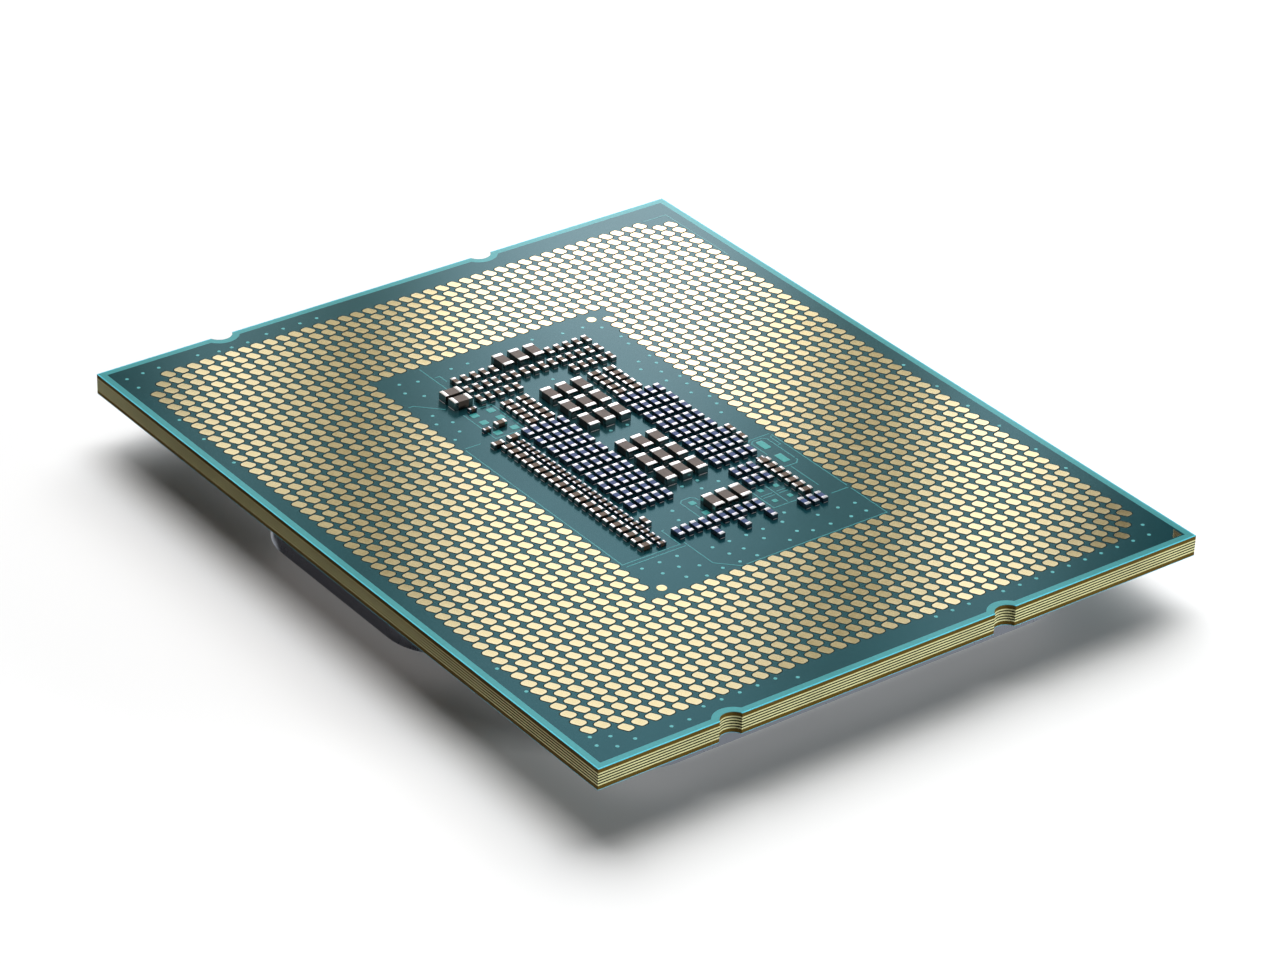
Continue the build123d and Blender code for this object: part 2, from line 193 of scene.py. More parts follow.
def gold():
    """Satin gold plate under a clear film: faintly cloudy, its tint a little different on each land, with a
    painted highlight along each land's rim.
    """
    material, tree, surface = shader("gold_plate")
    mm = in_mm(tree)
    cell = add(tree, "VectorMath", {"operation": "SNAP"}, Vector=mm)
    cell.inputs[1].default_value = (PITCH_MM, PITCH_MM, 10.0)
    each = add(tree, "TexWhiteNoise", Vector=cell.outputs["Vector"]).outputs["Value"]
    cloud = noise(tree, mm, 2.6, 3.0)
    grain = noise(tree, mm, 30.0, 2.0)
    golds = [(0.30, (0.93, 0.77, 0.38)), (0.55, (0.96, 0.81, 0.42)), (0.78, (0.98, 0.85, 0.47))]
    warm = ramp(tree, cloud, golds)
    tinted = mix(tree, between(tree, each, 0.0, 0.30), warm, (0.95, 0.82, 0.46))
    speck = ramp(tree, grain, [(0.34, grey(0.96)), (0.50, grey(1.0))])
    # Painted highlight: each land's rim is painted lighter and paler than its middle.
    rim = add(tree, "Attribute", {"attribute_name": "rim"}).outputs["Fac"]
    rim_highlighted_gold = mix(tree, maths(tree, "MULTIPLY", rim, 0.30), tinted, (1.0, 0.93, 0.66))
    put(tree, surface.inputs["Base Color"], mix(tree, 0.5, rim_highlighted_gold, speck, "MULTIPLY"))
    surface.inputs["Metallic"].default_value = 1.0
    rough = maths(tree, "ADD", between(tree, cloud, 0.11, 0.16), between(tree, each, -0.015, 0.02))
    put(tree, surface.inputs["Roughness"], rough)
    surface.inputs["Coat Weight"].default_value = 1.0
    surface.inputs["Coat Roughness"].default_value = 0.10
    relief(tree, surface, grain, 0.002 * MM, 0.25)
    return material


def mask_film(name, deep, bright, fleck_mix=0.5, tint=(0.10, 0.85, 1.0), coat=0.05):
    """Solder mask over copper: tinted film with a glossy skin, mottling and fine orange peel."""
    material, tree, surface = shader(name)
    mm = in_mm(tree)
    broad = noise(tree, mm, 0.22, 3.0)
    fine = noise(tree, mm, 7.0, 4.0)
    peel = noise(tree, mm, 2.4, 3.0)
    body = ramp(tree, broad, [(0.32, deep), (0.68, bright)])
    fleck = ramp(tree, fine, [(0.38, grey(0.86)), (0.62, grey(1.08))])
    put(tree, surface.inputs["Base Color"], mix(tree, fleck_mix, body, fleck, "MULTIPLY"))
    put(tree, surface.inputs["Roughness"], between(tree, fine, 0.15, 0.23))
    surface.inputs["IOR"].default_value = 1.75
    surface.inputs["Specular Tint"].default_value = (*tint, 1.0)
    surface.inputs["Coat Weight"].default_value = coat
    surface.inputs["Coat Roughness"].default_value = 0.11
    surface.inputs["Coat IOR"].default_value = 1.55
    height = maths(tree, "ADD", peel, between(tree, fine, 0.0, 0.35))
    relief(tree, surface, height, 0.004 * MM, 0.25)
    return material


def base_colour(material):
    """A finished material's node tree, its base colour socket and what feeds that socket."""
    tree = material.node_tree
    surface = next(node for node in tree.nodes if node.type == "BSDF_PRINCIPLED")
    socket = surface.inputs["Base Color"]
    return tree, socket, socket.links[0].from_socket


def lit_rim(material, colour):
    """Lighten a film in a fine line along the board's outline, as a chamfer there would catch light."""
    tree, socket, plain = base_colour(material)
    axes = add(tree, "SeparateXYZ", Vector=in_mm(tree))
    over = []
    for axis in (0, 1):
        start = CAD_BOX[1][axis] / MM - RIM_LIGHT_MM
        over.append(maths(tree, "SUBTRACT", maths(tree, "ABSOLUTE", axes.outputs[axis]), start))
    rim = maths(tree, "GREATER_THAN", maths(tree, "MAXIMUM", *over), 0.0)
    put(tree, socket, mix(tree, rim, plain, colour))


def two_faced(material, flat=None, upright=None, limit=0.5):
    """Give the faces that lie flat, or the upright ones, another colour, which here paints shade or a
    highlight onto them.
    """
    tree, socket, plain = base_colour(material)
    normal = add(tree, "SeparateXYZ", Vector=tree.nodes.new("ShaderNodeNewGeometry").outputs["Normal"])
    lies_flat = maths(tree, "GREATER_THAN", maths(tree, "ABSOLUTE", normal.outputs[2]), limit)
    put(tree, socket, mix(tree, lies_flat, upright or plain, flat or plain))


def laminate(name, base, streak, dark):
    """Sawn edge of a board layer: fine drawn-out fibre streaks and resin stains."""
    material, tree, surface = shader(name)
    grit = noise(tree, in_mm(tree, (1, 1, 3)), 16.0, 4.0, 0.6)
    stain = noise(tree, in_mm(tree, (1, 1, 2)), 0.5, 3.0)
    fibre = ramp(tree, grit, [(0.34, dark), (0.50, base), (0.66, streak)])
    shade = ramp(tree, stain, [(0.30, grey(0.80)), (0.60, grey(1.0))])
    put(tree, surface.inputs["Base Color"], mix(tree, 0.8, fibre, shade, "MULTIPLY"))
    put(tree, surface.inputs["Roughness"], between(tree, grit, 0.55, 0.80))
    surface.inputs["Specular IOR Level"].default_value = 0.08
    relief(tree, surface, grit, 0.006 * MM, 0.5)
    return material


def ceramic(name, base, light, dark):
    """Fired chip-capacitor ceramic: fine grain, faint mottling, slightly glazed."""
    material, tree, surface = shader(name)
    mm = in_mm(tree)
    grain = noise(tree, mm, 22.0, 5.0, 0.7)
    cloud = noise(tree, mm, 2.0, 2.0)
    speck = ramp(tree, grain, [(0.34, dark), (0.50, base), (0.68, light)])
    shade = ramp(tree, cloud, [(0.35, grey(0.80)), (0.65, grey(1.08))])
    put(tree, surface.inputs["Base Color"], mix(tree, 0.7, speck, shade, "MULTIPLY"))
    put(tree, surface.inputs["Roughness"], between(tree, grain, 0.30, 0.48))
    relief(tree, surface, grain, 0.006 * MM, 0.5)
    return material


def plated(name, base, stain, rough=(0.20, 0.38), grain_scale=14.0, grain_depth=0.006):
    """Plated metal with grain, soft staining and uneven gloss."""
    material, tree, surface = shader(name)
    mm = in_mm(tree)
    grain = noise(tree, mm, grain_scale, 5.0, 0.65)
    cloud = noise(tree, mm, 1.3, 4.0)
    put(tree, surface.inputs["Base Color"], ramp(tree, cloud, [(0.32, stain), (0.58, base)]))
    surface.inputs["Metallic"].default_value = 1.0
    put(tree, surface.inputs["Roughness"], between(tree, grain, *rough))
    relief(tree, surface, grain, grain_depth * MM, 0.5)
    return material


def spreader_nickel():
    """Nickel over copper, tumbled and lapped: crossing fine lines, handling marks and cloudy gloss."""
    material, tree, surface = shader("spreader_nickel")
    lines_a = noise(tree, in_mm(tree, (22, 0.25, 3)), 1.0, 3.0, 0.5)
    lines_b = noise(tree, in_mm(tree, (0.4, 16, 3)), 1.0, 3.0, 0.5)
    mm = in_mm(tree)
    cloud = noise(tree, mm, 0.16, 4.0, 0.6)
    pits = noise(tree, mm, 9.0, 3.0)
    nickels = [(0.30, (0.565, 0.56, 0.55)), (0.66, (0.64, 0.64, 0.63))]
    put(tree, surface.inputs["Base Color"], ramp(tree, cloud, nickels))
    surface.inputs["Metallic"].default_value = 1.0
    lines = maths(tree, "MULTIPLY", maths(tree, "ADD", lines_a, lines_b), 0.5)
    rough = maths(tree, "ADD", between(tree, lines, 0.22, 0.34), between(tree, cloud, -0.04, 0.06))
    put(tree, surface.inputs["Roughness"], rough)
    height = maths(tree, "ADD", lines, between(tree, pits, 0.0, 0.25))
    relief(tree, surface, height, 0.0015 * MM, 0.4)
    return material


def rubbery(name, base, light, rough=(0.45, 0.7)):
    """Matt filled polymer: sealant, underfill."""
    material, tree, surface = shader(name)
    mm = in_mm(tree)
    grain = noise(tree, mm, 12.0, 4.0)
    put(tree, surface.inputs["Base Color"], ramp(tree, grain, [(0.35, base), (0.7, light)]))
    put(tree, surface.inputs["Roughness"], between(tree, grain, *rough))
    relief(tree, surface, grain, 0.01 * MM, 0.6)
    return material


GOLD = gold()
MASK = mask_film("solder_mask_film", (0.0012, 0.028, 0.035), (0.0020, 0.036, 0.044))
# Painted highlight: the die-side mask's upright edges keep a light teal, and its flat faces get the film's
# own dark teal.
DIE_MASK = mask_film("die_side_mask_film", (0.10, 0.48, 0.62), (0.14, 0.55, 0.70))
two_faced(DIE_MASK, flat=(0.010, 0.036, 0.043))
BAND = mask_film("edge_band_film", (0.052, 0.24, 0.25), (0.062, 0.27, 0.285), 0.4, (0.05, 0.9, 1.0), 0.04)
lit_rim(BAND, (0.09, 0.52, 0.64))
RAISED_TINT = (0.2, 0.9, 1.0)
PAD_FILM = mask_film("masked_pad_film", (0.035, 0.25, 0.24), (0.050, 0.30, 0.28), 0.6, RAISED_TINT)
TRACE_FILM = mask_film("masked_trace_film", (0.030, 0.16, 0.17), (0.042, 0.20, 0.21), 0.5, RAISED_TINT)
VIA_FILM = mask_film("masked_via_film", (0.085, 0.34, 0.35), (0.12, 0.40, 0.41), 0.6, RAISED_TINT)
BUILDUP = laminate("buildup_edge", (0.090, 0.056, 0.007), (0.115, 0.073, 0.011), (0.060, 0.034, 0.004))
# The buildup's flat faces, seen in the narrow gaps round the lands, are near black: the dielectric's own dark
# tone, deepened as painted shade.
two_faced(BUILDUP, flat=(0.012, 0.018, 0.016))
PLY = laminate("glass_ply_edge", (0.60, 0.59, 0.31), (0.68, 0.67, 0.37), (0.47, 0.45, 0.22))
PLANE = laminate("copper_plane_edge", (0.014, 0.011, 0.003), (0.024, 0.019, 0.006), (0.007, 0.006, 0.001))
GREY_CERAMIC = ceramic("grey_ceramic", (0.095, 0.072, 0.060), (0.13, 0.10, 0.085), (0.06, 0.042, 0.034))
BROWN_CERAMIC = ceramic("brown_ceramic", (0.085, 0.050, 0.028), (0.13, 0.085, 0.05), (0.045, 0.025, 0.013))
BLUE_CERAMIC = ceramic("blue_ceramic", (0.016, 0.045, 0.150), (0.030, 0.075, 0.21), (0.008, 0.024, 0.080))
TIN = plated("tin_plate", (0.97, 0.97, 0.96), (0.88, 0.87, 0.85), (0.12, 0.20))
FINE_TIN = plated("fine_tin_plate", (0.76, 0.78, 0.82), (0.62, 0.64, 0.68), (0.14, 0.24))
# The solder is given a dark grey, darker than the metal's own: partly its own colour, partly painted shade at
# the chips' feet where the fillets sit.
SOLDER = plated("solder_metal", (0.30, 0.30, 0.31), (0.20, 0.20, 0.21), (0.25, 0.45), 10.0)
NICKEL = spreader_nickel()
SEALANT = rubbery("black_sealant", (0.012, 0.012, 0.013), (0.03, 0.03, 0.032))
UNDERFILL = rubbery("amber_underfill", (0.02, 0.015, 0.01), (0.05, 0.04, 0.025), (0.25, 0.45))
INDIUM = plated("indium_foil", (0.70, 0.70, 0.73), (0.60, 0.60, 0.62), (0.35, 0.55), 6.0)
SILICON = plated("silicon_back", (0.16, 0.17, 0.20), (0.12, 0.12, 0.15), (0.12, 0.22), 20.0, 0.002)

# Painted shade: the upright faces of the chips and of the heat spreader are given much darker colours than
# the flat ones.
two_faced(GREY_CERAMIC, upright=(0.042, 0.031, 0.026))
two_faced(BROWN_CERAMIC, upright=(0.028, 0.017, 0.010))
two_faced(BLUE_CERAMIC, upright=(0.010, 0.014, 0.036))
two_faced(TIN, upright=(0.34, 0.33, 0.32))
two_faced(FINE_TIN, upright=(0.13, 0.14, 0.18))
two_faced(NICKEL, upright=(0.34, 0.36, 0.40), limit=0.7)


# ============================ mesh helpers ============================

def piece(name, form, material, stands_for, crease):
    """A new mesh piece that rides on the root body and stands for a CAD node.

    Edges sharper than crease degrees stay sharp.
    """
    mesh = bpy.data.meshes.new(name)
    mesh.from_pydata(form.vertices, [], form.faces)
    mesh.materials.append(material)
    cleaner = bmesh.new()
    cleaner.from_mesh(mesh)
    bmesh.ops.recalc_face_normals(cleaner, faces=cleaner.faces)
    cleaner.to_mesh(mesh)
    cleaner.free()
    mesh.shade_smooth()
    mesh.set_sharp_from_angle(angle=math.radians(crease))
    made = bpy.data.objects.new(name, mesh)
    bpy.context.scene.collection.objects.link(made)
    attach(made, "root")
    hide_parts(stands_for)
    return made


# Mesh corners are told apart on a grid of 0.1 micrometre.
CELLS_PER_METRE = 1e7
CELL = 1e-7


def islands(node):
    """Low and high corner of each separate solid in a CAD node, in a fixed order."""
    mesh = NODES[node].data
    owner = {}

    def find(key):
        while owner[key] != key:
            owner[key] = owner[owner[key]]
            key = owner[key]
        return key

    keys = [tuple(round(c * CELLS_PER_METRE) for c in v.co) for v in mesh.vertices]
    for key in keys:
        owner.setdefault(key, key)
    for polygon in mesh.polygons:
        first = find(keys[polygon.vertices[0]])
        for index in polygon.vertices[1:]:
            other = find(keys[index])
            if other != first:
                owner[other] = first
    groups = {}
    for key in owner:
        groups.setdefault(find(key), []).append(key)
    boxes = []
    for members in groups.values():
        low = Vector([min(m[axis] for m in members) * CELL for axis in range(3)])
        high = Vector([max(m[axis] for m in members) * CELL for axis in range(3)])
        boxes.append((low, high))
    boxes.sort(key=lambda b: (round(b[0].x, 6), round(b[0].y, 6), round(b[0].z, 6)))
    return boxes


def middle(box):
    """Centre of a box given by its low and high corner."""
    return (box[0] + box[1]) / 2


class Builder:
    """Collects vertices and faces for one piece, and a rim value for each vertex of a plate."""

    def __init__(self):
        self.vertices = []
        self.faces = []
        self.rims = []

    def stamp(self, template, matrix):
        """Add a copy of another form."""
        start = len(self.vertices)
        self.vertices += [tuple(matrix @ Vector(v)) for v in template.vertices]
        self.faces += [tuple(start + i for i in f) for f in template.faces]

    def ring(self, points):
        """Add a row of vertices and give back their numbers."""
        start = len(self.vertices)
        self.vertices += [tuple(p) for p in points]
        return list(range(start, start + len(points)))

    def bridge(self, lower, upper):
        """Join two closed rings with a band of faces."""
        count = len(lower)
        for k in range(count):
            after = (k + 1) % count
            self.faces.append((lower[k], lower[after], upper[after], upper[k]))


def rounded_box(size, radius, segments, swell=0.0):
    """A box centred on the origin with rounded edges, its flat faces swollen outwards if asked."""
    shape = bmesh.new()
    bmesh.ops.create_cube(shape, size=1.0)
    bmesh.ops.scale(shape, vec=Vector(size), verts=shape.verts)
    edges = list(shape.edges)
    bmesh.ops.bevel(shape, geom=edges, offset=radius, segments=segments, profile=0.5, affect="EDGES")
    if swell:
        shape.normal_update()
        sides = [f for f in shape.faces if max(abs(c) for c in f.normal) > 0.999]
        bmesh.ops.inset_individual(shape, faces=sides, thickness=min(size) * 0.12)
        for face in sides:
            for vertex in face.verts:
                vertex.co += face.normal * swell
    made = Builder()
    shape.verts.index_update()
    made.vertices = [tuple(v.co) for v in shape.verts]
    made.faces = [tuple(v.index for v in f.verts) for f in shape.faces]
    shape.free()
    return made


# ============================ contact lands ============================

def land_outline(grow=0.0, arc_steps=6):
    """A land's outline: a parallelogram with rounded corners, two tight and two wide, grown outwards."""
    a = Vector(LAND_ACUTE)
    b = Vector(LAND_OBTUSE)
    points = []
    for corner, before, after, radius in ((a, -b, b, LAND_ACUTE_R), (b, a, -a, LAND_OBTUSE_R)):
        to_before = (before - corner).normalized()
        to_after = (after - corner).normalized()
        half_angle = to_before.angle(to_after) / 2
        centre = corner + (to_before + to_after).normalized() * radius / math.sin(half_angle)
        start = corner + to_before * radius / math.tan(half_angle) - centre
        sweep = math.pi - 2 * half_angle
        for k in range(arc_steps + 1):
            angle = math.atan2(start.y, start.x) - sweep * k / arc_steps
            reach = radius + grow
            points.append((centre.x + reach * math.cos(angle), centre.y + reach * math.sin(angle)))
    points += [(-x, -y) for x, y in points]
    return list(reversed(points))


MASK_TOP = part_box("land_side_solder_mask")[1].z
MASK_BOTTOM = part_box("land_side_solder_mask")[0].z
LAND_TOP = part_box("contact_lands_south")[1].z
LAND_FIELDS = ("contact_lands_south", "contact_lands_north", "contact_lands_west", "contact_lands_east")


# A plate's rings from its foot to the middle of its top: share of the outline, and share of the height.
PLATE_RINGS = ((1.0, 0.0), (1.0, 0.86), (0.985, 1.0), (0.90, 1.0), (0.78, 1.0), (0.62, 1.0))
DISH_START = 0.95
RIM_END = 0.75


def plate(builder, outline, centre, base, top, dish=0.0, tilt=(0.0, 0.0)):
    """A thin plated pad with a rounded rim, its top dished and tilted by tiny amounts."""
    rings = []
    for share, rise in PLATE_RINGS:
        level = base + rise * (top - base) - dish * max(0.0, DISH_START - share)
        ring = []
        for x, y in outline:
            lean = (tilt[0] * x + tilt[1] * y) * share if rise > 0.0 else 0.0
            ring.append((centre.x + x * share, centre.y + y * share, level + lean))
        rings.append(builder.ring(ring))
        builder.rims += [1.0 if share > RIM_END else 0.0] * len(outline)
    for lower, upper in zip(rings, rings[1:]):
        builder.bridge(lower, upper)
    builder.faces.append(tuple(rings[-1]))
    builder.faces.append(tuple(reversed(rings[0])))


OUTLINE = land_outline()
SITES = set()
for field in LAND_FIELDS:
    lands = Builder()
    for box in islands(field):
        centre = middle(box)
        SITES.add((round(centre.x / PITCH + (COLUMNS - 1) / 2), round(centre.y / PITCH + (ROWS - 1) / 2)))
        tilt = (random.uniform(-LAND_TILT, LAND_TILT), random.uniform(-LAND_TILT, LAND_TILT))
        plate(lands, OUTLINE, centre, MASK_BOTTOM, LAND_TOP - TILT_ROOM, LAND_DISH, tilt)
    made = piece("gold_" + field, lands, GOLD, field, 18)
    rim_values = made.data.attributes.new("rim", "FLOAT", "POINT")
    rim_values.data.foreach_set("value", lands.rims)


# ============================ solder mask with its land openings ============================

def square_point(angle, half):
    """Point where a ray from the middle of a square meets its edge."""
    c, s = math.cos(angle), math.sin(angle)
    reach = half / max(abs(c), abs(s))
    return c * reach, s * reach


def field_outline():
    """Mask field boundary, anticlockwise, with an arc round each keying notch."""
    half_x = CAD_BOX[1].x - BAND_WIDTH
    half_y = CAD_BOX[1].y - BAND_WIDTH
    notch_y = CAD_BOX[1].y + NOTCH_R - NOTCH_DEPTH
    radius = NOTCH_R + BAND_WIDTH
    reach = math.acos((notch_y - half_y) / radius)
    points = [(-half_x, -half_y)]
    for x in NOTCH_X:
        for k in range(NOTCH_STEPS + 1):
            angle = reach - 2 * reach * k / NOTCH_STEPS
            points.append((x - radius * math.sin(angle), -notch_y + radius * math.cos(angle)))
    points += [(half_x, -half_y), (half_x, half_y)]
    for x in reversed(NOTCH_X):
        for k in range(NOTCH_STEPS + 1):
            angle = reach - 2 * reach * k / NOTCH_STEPS
            points.append((x + radius * math.sin(angle), notch_y - radius * math.cos(angle)))
    points.append((-half_x, half_y))
    return points


def polar(outline, angle):
    """Point where a ray from the middle crosses a closed outline."""
    c, s = math.cos(angle), math.sin(angle)
    for k, (ax, ay) in enumerate(outline):
        bx, by = outline[(k + 1) % len(outline)]
        side_a = ay * c - ax * s
        side_b = by * c - bx * s
        if side_a <= 0 < side_b:
            share = side_a / (side_a - side_b)
            x, y = ax + (bx - ax) * share, ay + (by - ay) * share
            if x * c + y * s > 0:
                return x, y
    raise ValueError("outline is open")


def mask_mesh():
    """The mask film: a rounded opening at every land, and plain film elsewhere."""
    film = Builder()
    half = PITCH / 2
    angles = [math.radians(360 / OPENING_POINTS * k + 45) for k in range(OPENING_POINTS)]
    opening_outline = land_outline(CLEARANCE, 16)
    opening = [polar(opening_outline, angle) for angle in angles]
    square = [square_point(angle, half) for angle in angles]
    for i in range(COLUMNS):
        for j in range(ROWS):
            x0 = (i - (COLUMNS - 1) / 2) * PITCH
            y0 = (j - (ROWS - 1) / 2) * PITCH
            if (i, j) in SITES:
                edge = film.ring([(x0 + x, y0 + y, MASK_TOP) for x, y in square])
                lip = film.ring([(x0 + x, y0 + y, MASK_TOP) for x, y in opening])
                foot = film.ring([(x0 + x, y0 + y, MASK_BOTTOM) for x, y in opening])
                film.bridge(edge, lip)
                film.bridge(lip, foot)
            else:
                corners = ((-half, -half), (half, -half), (half, half), (-half, half))
                film.faces.append(tuple(film.ring([(x0 + x, y0 + y, MASK_TOP) for x, y in corners])))
    border = field_outline()
    inner_x = COLUMNS * half
    inner_y = ROWS * half
    filler = bmesh.new()
    lattice = [(-inner_x, -inner_y), (inner_x, -inner_y), (inner_x, inner_y), (-inner_x, inner_y)]
    edges = []
    for loop in (border, lattice):
        row = [filler.verts.new((x, y, MASK_TOP)) for x, y in loop]
        edges += [filler.edges.new((row[k], row[(k + 1) % len(row)])) for k in range(len(row))]
    bmesh.ops.triangle_fill(filler, use_beauty=True, use_dissolve=False, edges=edges)
    filler.verts.index_update()
    plain = Builder()
    plain.vertices = [tuple(v.co) for v in filler.verts]
    plain.faces = [tuple(v.index for v in f.verts) for f in filler.faces]
    filler.free()
    film.stamp(plain, Matrix.Identity(4))
    top = film.ring([(x, y, MASK_TOP) for x, y in border])
    foot = film.ring([(x, y, MASK_BOTTOM) for x, y in border])
    film.bridge(foot, top)
    return film


piece("solder_mask_film", mask_mesh(), MASK, "land_side_solder_mask", 18)


# ============================ capacitors ============================

def jitter(centre):
    """Matrix that puts a chip at its place, off true by a hair."""
    turn = Matrix.Rotation(math.radians(random.gauss(0, CHIP_TURN_DEGREES)), 4, "Z")
    nudge = Vector((random.gauss(0, CHIP_SHIFT_MM), random.gauss(0, CHIP_SHIFT_MM), 0)) * MM
    return Matrix.Translation(centre + nudge) @ turn


# Family: body ceramic, end plating, the body's slot, and how round the ends are in mm.
FAMILIES = {
    "large": (GREY_CERAMIC, TIN, "ceramic_grey", 0.014),
    "tall": (GREY_CERAMIC, TIN, "ceramic_grey", 0.014),
    "small": (BROWN_CERAMIC, TIN, "ceramic_brown", 0.011),
    "slim": (BLUE_CERAMIC, FINE_TIN, "ceramic_blue", 0.008),
    "lateral": (BROWN_CERAMIC, TIN, "ceramic_brown", 0.009),
    "micro": (BROWN_CERAMIC, FINE_TIN, "ceramic_brown", 0.008),
}
all_terminals = []
for family, (body_look, end_look, slot, round_mm) in FAMILIES.items():
    body_node = family + "_capacitor_bodies"
    end_node = family + "_capacitor_terminals"
    bodies = islands(body_node)
    ends = islands(end_node)
    body_size = bodies[0][1] - bodies[0][0]
    end_size = ends[0][1] - ends[0][0]
    along = 0 if end_size.x < end_size.y else 1
    # The ceramic runs on a little way inside both end caps.
    reach = Vector(body_size)
    reach[along] += 0.5 * end_size[along]
    body_form = rounded_box(reach, CERAMIC_ROUND, 1)
    end_form = rounded_box(end_size - 2 * SWELL * Vector((1, 1, 1)), round_mm * MM, 2, SWELL)
    chips = Builder()
    caps = Builder()
    for box in bodies:
        centre = middle(box)
        place = jitter(centre)
        chips.stamp(body_form, place)
        offset = (body_size[along] + end_size[along]) / 2
        for side in (-1, 1):
            shift = Vector((0, 0, middle(ends[0]).z - centre.z))
            shift[along] = side * offset
            end_place = place @ Matrix.Translation(shift)
            caps.stamp(end_form, end_place)
            all_terminals.append((end_place, along, side, end_size))
    piece(family + "_capacitor_ceramics", chips, body_look, body_node, 25)
    piece(family + "_capacitor_end_caps", caps, end_look, end_node, 25)


FILLET_SECTIONS = 6
FILLET_STEPS = 5
FILLET_CURVE = 1.6


def solder_fillet(toe, rise, width):
    """A concave solder fillet, lower at its two sides, that climbs a terminal's end face at x = 0."""
    form = Builder()
    rings = []
    for k in range(FILLET_SECTIONS + 1):
        across = -1 + 2 * k / FILLET_SECTIONS
        fullness = math.sqrt(1 - (0.94 * across) ** 2)
        reach = toe * (0.35 + 0.65 * fullness)
        climb = rise * (0.55 + 0.45 * fullness)
        y = across * width / 2
        section = [(0.0, y, 0.0)]
        for step in range(FILLET_STEPS + 1):
            t = step / FILLET_STEPS
            section.append((reach * (1 - t) ** FILLET_CURVE, y, climb * t ** FILLET_CURVE))
        rings.append(form.ring(section))
    for lower, upper in zip(rings, rings[1:]):
        form.bridge(lower, upper)
    form.faces.append(tuple(rings[0]))
    form.faces.append(tuple(reversed(rings[-1])))
    return form


fillets = Builder()
forms = {}
for place, along, side, size in all_terminals:
    key = tuple(round(c * 1e7) for c in size) + (along,)
    width = size[1 - along]
    if key not in forms:
        forms[key] = solder_fillet(FILLET_TOE, 0.18 * size.z, 0.88 * width)
    foot = Vector((0, 0, -size.z / 2))
    foot[along] = side * (size[along] / 2 - FILLET_SINK)
    facing = math.atan2(foot.y, foot.x)
    fillets.stamp(forms[key], place @ Matrix.Translation(foot) @ Matrix.Rotation(facing, 4, "Z"))
piece("solder_fillets", fillets, SOLDER, "capacitor_solder_joints", 50)


# ============================ small pads ============================

def round_outline(radius, count):
    """Points round a circle."""
    angles = [2 * math.pi * k / count for k in range(count)]
    return [(radius * math.cos(angle), radius * math.sin(angle)) for angle in angles]


def pad_outline(size_x, size_y, radius, steps=4):
    """Points round a rectangle with rounded corners."""
    points = []
    for cx, cy, start in ((1, 1, 0), (-1, 1, 90), (-1, -1, 180), (1, -1, 270)):
        for k in range(steps + 1):
            angle = math.radians(start + 90 * k / steps)
            x = cx * (size_x / 2 - radius) + radius * math.cos(angle)
            y = cy * (size_y / 2 - radius) + radius * math.sin(angle)
            points.append((x, y))
    return points


discs = Builder()
for box in islands("fiducial_pads"):
    plate(discs, round_outline((box[1].x - box[0].x) / 2, 32), middle(box), MASK_TOP, LAND_TOP, LAND_DISH)
piece("fiducial_discs", discs, GOLD, "fiducial_pads", 50)

pads = Builder()
for low, high in islands("bare_component_pads"):
    size = high - low
    plate(pads, pad_outline(size.x, size.y, 0.06 * MM), middle((low, high)), low.z, high.z)
piece("bare_pad_films", pads, PAD_FILM, "bare_component_pads", 50)

domes = Builder()
for low, high in islands("filled_vias"):
    plate(domes, round_outline((high.x - low.x) / 2, 16), middle((low, high)), low.z, high.z)
piece("via_domes", domes, VIA_FILM, "filled_vias", 60)


# ============================ carried-over CAD nodes ============================

LOOKS = {
    "die_side_solder_mask": DIE_MASK,
    "die_side_buildup": BUILDUP,
    "land_side_buildup": BUILDUP,
    "solder_mask_edge_band": BAND,
    "pin_one_marker": GOLD,
    "conductor_traces": TRACE_FILM,
    "heat_spreader": NICKEL,
    "heat_spreader_sealant": SEALANT,
    "solder_thermal_interface": INDIUM,
    "silicon_die": SILICON,
    "solder_bumps": SOLDER,
    "underfill": UNDERFILL,
}
for name, node in NODES.items():
    look = LOOKS.get(name)
    if name.startswith("core_ply"):
        look = PLY
    elif name.startswith("core_plane"):
        look = PLANE
    if look is not None:
        for place in node.material_slots:
            place.material = look

# Nodes whose sharp edges are softened by modifiers: bevel width in mm, and segments.
SOFTENED = {"heat_spreader": (0.09, 3), "conductor_traces": (0.002, 1), "pin_one_marker": (0.004, 2)}
for name, (width, segments) in SOFTENED.items():
    weld = NODES[name].modifiers.new("weld", "WELD")
    weld.merge_threshold = 0.0005 * MM
    soften = NODES[name].modifiers.new("soften", "BEVEL")
    soften.width = width * MM
    soften.segments = segments
    soften.limit_method = "ANGLE"
    soften.angle_limit = math.radians(35)
    soften.harden_normals = True


# ============================ camera ============================

# The camera was fitted to the land lattice: it looks at AIM, which is on the lands' plane.
HEADING = math.radians(52.248)
DOWNWARD = math.radians(30.434)
ROLL = math.radians(2.045)
DISTANCE = 229.692 * MM
AIM = Vector((-1.385 * MM, -2.672 * MM, LAND_TOP))

# Horizontal directions away from the camera and to its right, and straight up.
AHEAD = Vector((math.cos(HEADING), math.sin(HEADING), 0))
ASIDE = Vector((AHEAD.y, -AHEAD.x, 0))
SKY = Vector((0, 0, 1))

